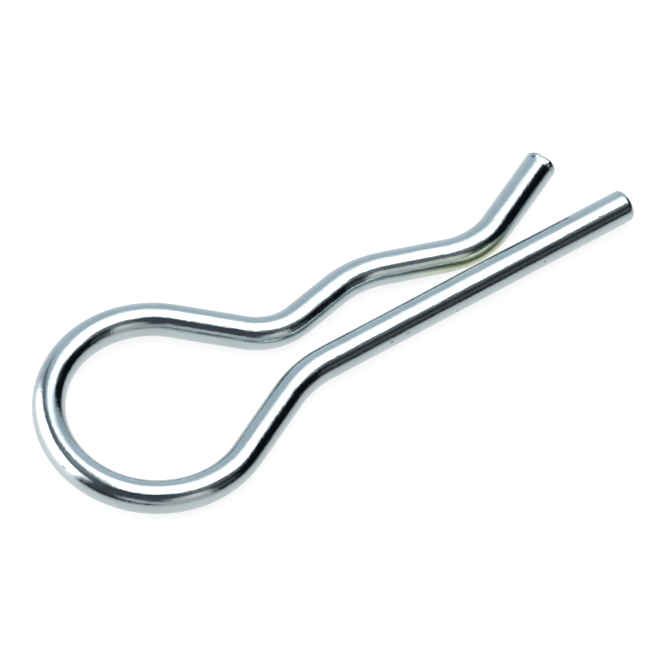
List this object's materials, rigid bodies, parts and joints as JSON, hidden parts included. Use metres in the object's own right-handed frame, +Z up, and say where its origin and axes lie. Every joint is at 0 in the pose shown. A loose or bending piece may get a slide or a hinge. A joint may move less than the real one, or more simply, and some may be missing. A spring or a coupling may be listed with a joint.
{
  "type": "hitch r clip pin",
  "caption": "R-shaped hitch pin clip of bright plated spring wire, with a round loop, a straight leg for a shaft's cross hole and a wavy leg that grips the shaft.",
  "frame": {"origin": "middle of the clip's outline, on the surface that it lies on", "axes": "+X along the straight leg towards its free end, +Y from the straight leg towards the wavy leg, +Z up from the surface"},
  "size_m": [0.078, 0.0288, 0.004],
  "materials": {
    "plated_wire": "polished"
  },
  "bodies": {
    "root": {"clip": "plated_wire"}
  },
  "joints": []
}
